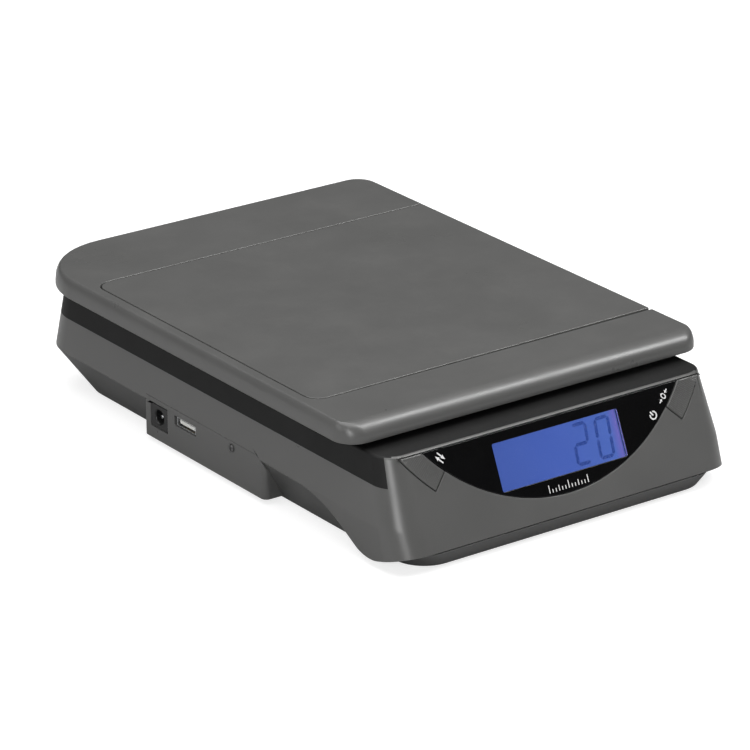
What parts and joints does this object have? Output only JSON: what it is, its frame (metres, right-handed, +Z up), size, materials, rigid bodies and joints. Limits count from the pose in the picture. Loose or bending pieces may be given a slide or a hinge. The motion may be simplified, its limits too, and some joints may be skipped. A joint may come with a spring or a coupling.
{
  "type": "postal scale",
  "caption": "Electronic postal scale: low grey casing with a sloping backlit display, two touch buttons and a round-cornered weighing platform with a pull-out leaf.",
  "frame": {"origin": "middle of the footprint on the table, under the centre of the whole scale", "axes": "+X to the user's right, +Y from the display to the rear, +Z up"},
  "size_m": [0.2, 0.2959, 0.0625],
  "materials": {
    "casing_grey": "semi-gloss moulded, fine grain",
    "casing_dark": "satin moulded",
    "black_gloss": "polished, with a clear window",
    "black_plastic": "satin",
    "white_plastic": "satin",
    "lcd_blue": "backlit liquid crystal display",
    "circuit_board": "solder mask",
    "aluminium": "milled",
    "steel": "plated",
    "rubber": "matt",
    "battery_can": "printed wrap, left plain"
  },
  "bodies": {
    "base": {"base_upper_shell": "casing_grey", "base_lower_shell": "casing_dark", "load_cell": "aluminium", "load_cell_foot": "aluminium", "load_cell_foot_screw_1": "steel", "load_cell_foot_screw_2": "steel", "overload_stop_1": "steel", "overload_stop_2": "steel", "overload_stop_3": "steel", "overload_stop_4": "steel", "housing_screw_1": "steel", "housing_screw_2": "steel", "housing_screw_3": "steel", "housing_screw_4": "steel", "rubber_foot_1": "rubber", "rubber_foot_2": "rubber", "rubber_foot_3": "rubber", "rubber_foot_4": "rubber", "battery": "battery_can", "battery_snap": "black_plastic", "dc_jack_housing": "black_plastic", "dc_jack_pin": "steel", "usb_socket_shell": "steel", "usb_socket_tongue": "white_plastic", "connector_board": "circuit_board", "side_screw": "steel", "display_lens": "black_gloss", "lcd_glass": "lcd_blue", "lcd_backlight": "white_plastic", "main_board": "circuit_board", "units_switch": "black_plastic", "power_switch": "black_plastic", "board_screw_units_1": "steel", "board_screw_units_2": "steel", "board_screw_power_1": "steel", "board_screw_power_2": "steel"},
    "platform": {"weighing_platform": "casing_grey", "platform_carrier": "aluminium", "platform_post": "aluminium", "platform_post_screw_1": "steel", "platform_post_screw_2": "steel", "platform_grommet_1": "rubber", "platform_grommet_2": "rubber", "platform_grommet_3": "rubber", "platform_grommet_4": "rubber"},
    "leaf": {"platform_leaf": "casing_grey"},
    "units_button": {"units_button": "casing_grey", "units_switch_plunger": "white_plastic"},
    "power_button": {"power_button": "casing_grey", "power_switch_plunger": "white_plastic"},
    "battery_door": {"battery_door": "casing_dark"}
  },
  "joints": [
    {"name": "platform_slide", "type": "slide", "parent": "base", "child": "platform", "axis": [0, 0, 1], "range_m": [-0.0008, 0], "stiffness_N_per_m": 60000},
    {"name": "leaf_slide", "type": "slide", "parent": "platform", "child": "leaf", "axis": [1, 0, 0], "range_m": [0, 0.08]},
    {"name": "units_press", "type": "slide", "parent": "base", "child": "units_button", "axis": [0, 0.9135, -0.4067], "range_m": [0, 0.0006], "stiffness_N_per_m": 2500},
    {"name": "power_press", "type": "slide", "parent": "base", "child": "power_button", "axis": [0, 0.9135, -0.4067], "range_m": [0, 0.0006], "stiffness_N_per_m": 2500},
    {"name": "battery_door_hinge", "type": "hinge", "parent": "base", "child": "battery_door", "pos_m": [0, 0.07225, 0.0012], "axis": [-1, 0, 0], "range_deg": [0, 60]}
  ]
}
